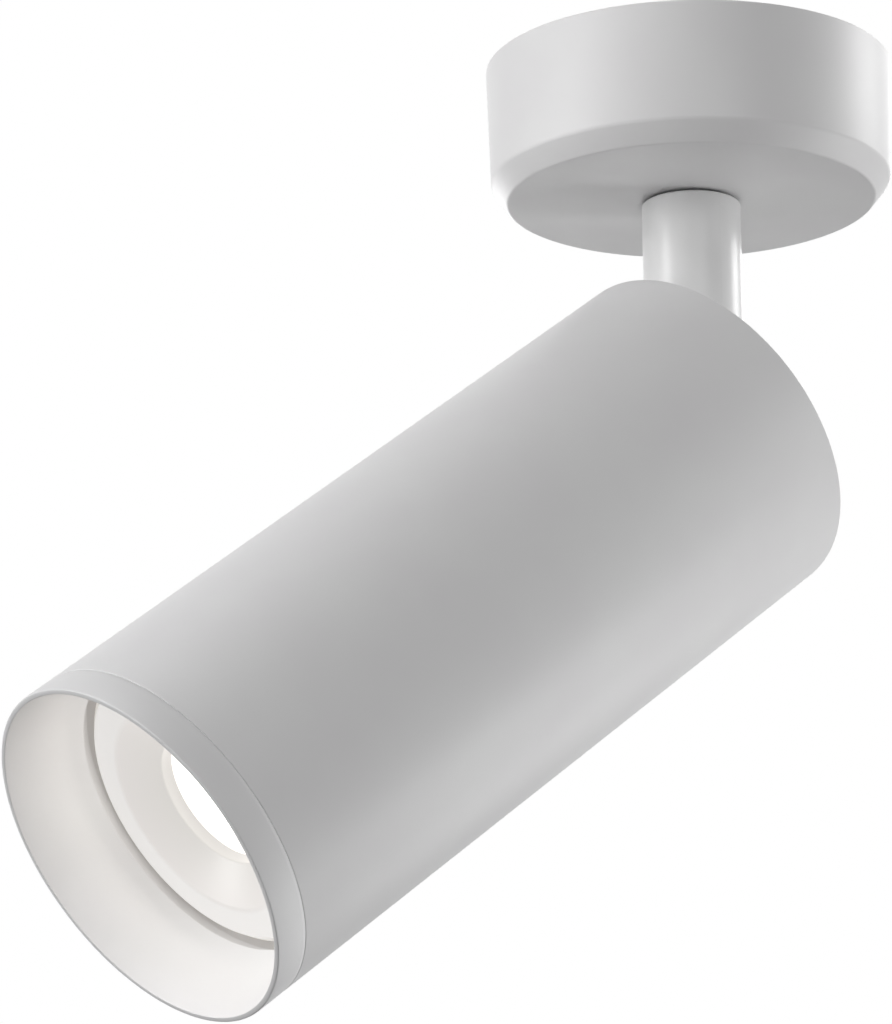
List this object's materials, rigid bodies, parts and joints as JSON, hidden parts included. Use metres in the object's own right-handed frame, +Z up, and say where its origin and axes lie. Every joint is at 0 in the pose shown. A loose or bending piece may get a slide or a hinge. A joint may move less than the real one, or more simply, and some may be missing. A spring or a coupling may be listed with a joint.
{
  "type": "surface mounted ceiling spotlight",
  "caption": "White tubular ceiling spotlight: a tilting cylinder head with a recessed lamp, on a swivel stem under a round ceiling canopy.",
  "frame": {"origin": "centre of the canopy on the ceiling plane, on the stem's axis", "axes": "+Z up into the ceiling, the light hangs below; the head leans towards -Y as aimed, and tilts about X"},
  "size_m": [0.0704, 0.1609, 0.1717],
  "materials": {
    "white_paint": "fine matt white powder coat on aluminium",
    "zinc_steel": "zinc plated pressed steel",
    "bright_steel": "bright zinc plated screws",
    "brass": "bare brass",
    "tinned_copper": "tinned copper lugs",
    "white_nylon": "natural moulded nylon",
    "grey_nylon": "grey nylon washers",
    "steatite": "unglazed pressed ceramic",
    "bare_aluminium": "drawn aluminium",
    "lamp_white": "moulded white lamp body",
    "lamp_optic": "milky moulded polycarbonate",
    "lamp_diffuser": "opal diffuser",
    "led_phosphor": "yellow phosphor in a white dam",
    "circuit_board": "glass epoxy board",
    "board_white": "white lacquered aluminium board",
    "black_plastic": "moulded component cases",
    "black_rubber": "black silicone seal",
    "brown_silicone": "brown silicone insulation",
    "blue_silicone": "blue silicone insulation",
    "green_yellow_silicone": "green and yellow silicone insulation",
    "glass_sleeve": "woven glass sleeving"
  },
  "bodies": {
    "ceiling_mount": {"mounting_bracket": "zinc_steel", "canopy": "white_paint", "canopy_side_screws": "bright_steel", "terminal_block": "white_nylon", "terminal_clamps": "brass", "terminal_screws": "bright_steel", "terminal_fixing_screw": "bright_steel", "earth_screw": "bright_steel", "earth_tooth_washer": "bright_steel", "earth_terminal": "tinned_copper", "canopy_live_lead": "brown_silicone", "canopy_neutral_lead": "blue_silicone", "canopy_earth_lead": "green_yellow_silicone"},
    "stem": {"stem": "white_paint", "swivel_nipple": "zinc_steel", "thrust_washer": "grey_nylon", "inner_washer": "grey_nylon", "stop_washer": "zinc_steel", "wave_washer": "bright_steel", "swivel_nut": "zinc_steel", "pivot_screws": "bright_steel", "pivot_spring_washers": "bright_steel", "stem_live_lead": "brown_silicone", "stem_neutral_lead": "blue_silicone", "stem_earth_lead": "green_yellow_silicone"},
    "head": {"housing_tube": "white_paint", "rear_cap": "white_paint", "pivot_friction_washers": "grey_nylon", "lampholder_bracket": "zinc_steel", "bracket_screws": "bright_steel", "lampholder_body": "steatite", "lampholder_contacts": "brass", "lampholder_screws": "bright_steel", "lampholder_nuts": "bright_steel", "head_earth_terminal": "tinned_copper", "head_earth_screw": "bright_steel", "lead_sleeves": "glass_sleeve", "head_live_lead": "brown_silicone", "head_neutral_lead": "blue_silicone", "head_earth_lead": "green_yellow_silicone"},
    "lamp": {"lamp_shell": "lamp_white", "lamp_base": "lamp_white", "lamp_pins": "bright_steel", "lamp_heat_sink": "bare_aluminium", "lamp_driver_board": "circuit_board", "lamp_driver_parts": "black_plastic", "lamp_led_board": "board_white", "lamp_led": "led_phosphor", "lamp_optic": "lamp_optic", "lamp_diffuser": "lamp_diffuser"},
    "front_ring": {"front_ring": "white_paint", "front_ring_seal": "black_rubber"}
  },
  "joints": [
    {"name": "pan", "type": "hinge", "parent": "ceiling_mount", "child": "stem", "pos_m": [0, 0, -0.024], "axis": [0, 0, 1], "range_deg": [-165, 165]},
    {"name": "tilt", "type": "hinge", "parent": "stem", "child": "head", "pos_m": [0, 0, -0.0666], "axis": [1, 0, 0], "range_deg": [-12, 118]},
    {"name": "lamp_twist", "type": "hinge", "parent": "head", "child": "lamp", "pos_m": [0, -0.0595, -0.11144], "axis": [0, -0.7986, -0.6018], "range_deg": [0, 22]},
    {"name": "ring_pull", "type": "slide", "parent": "head", "child": "front_ring", "axis": [0, -0.7986, -0.6018], "range_m": [0, 0.016]}
  ]
}
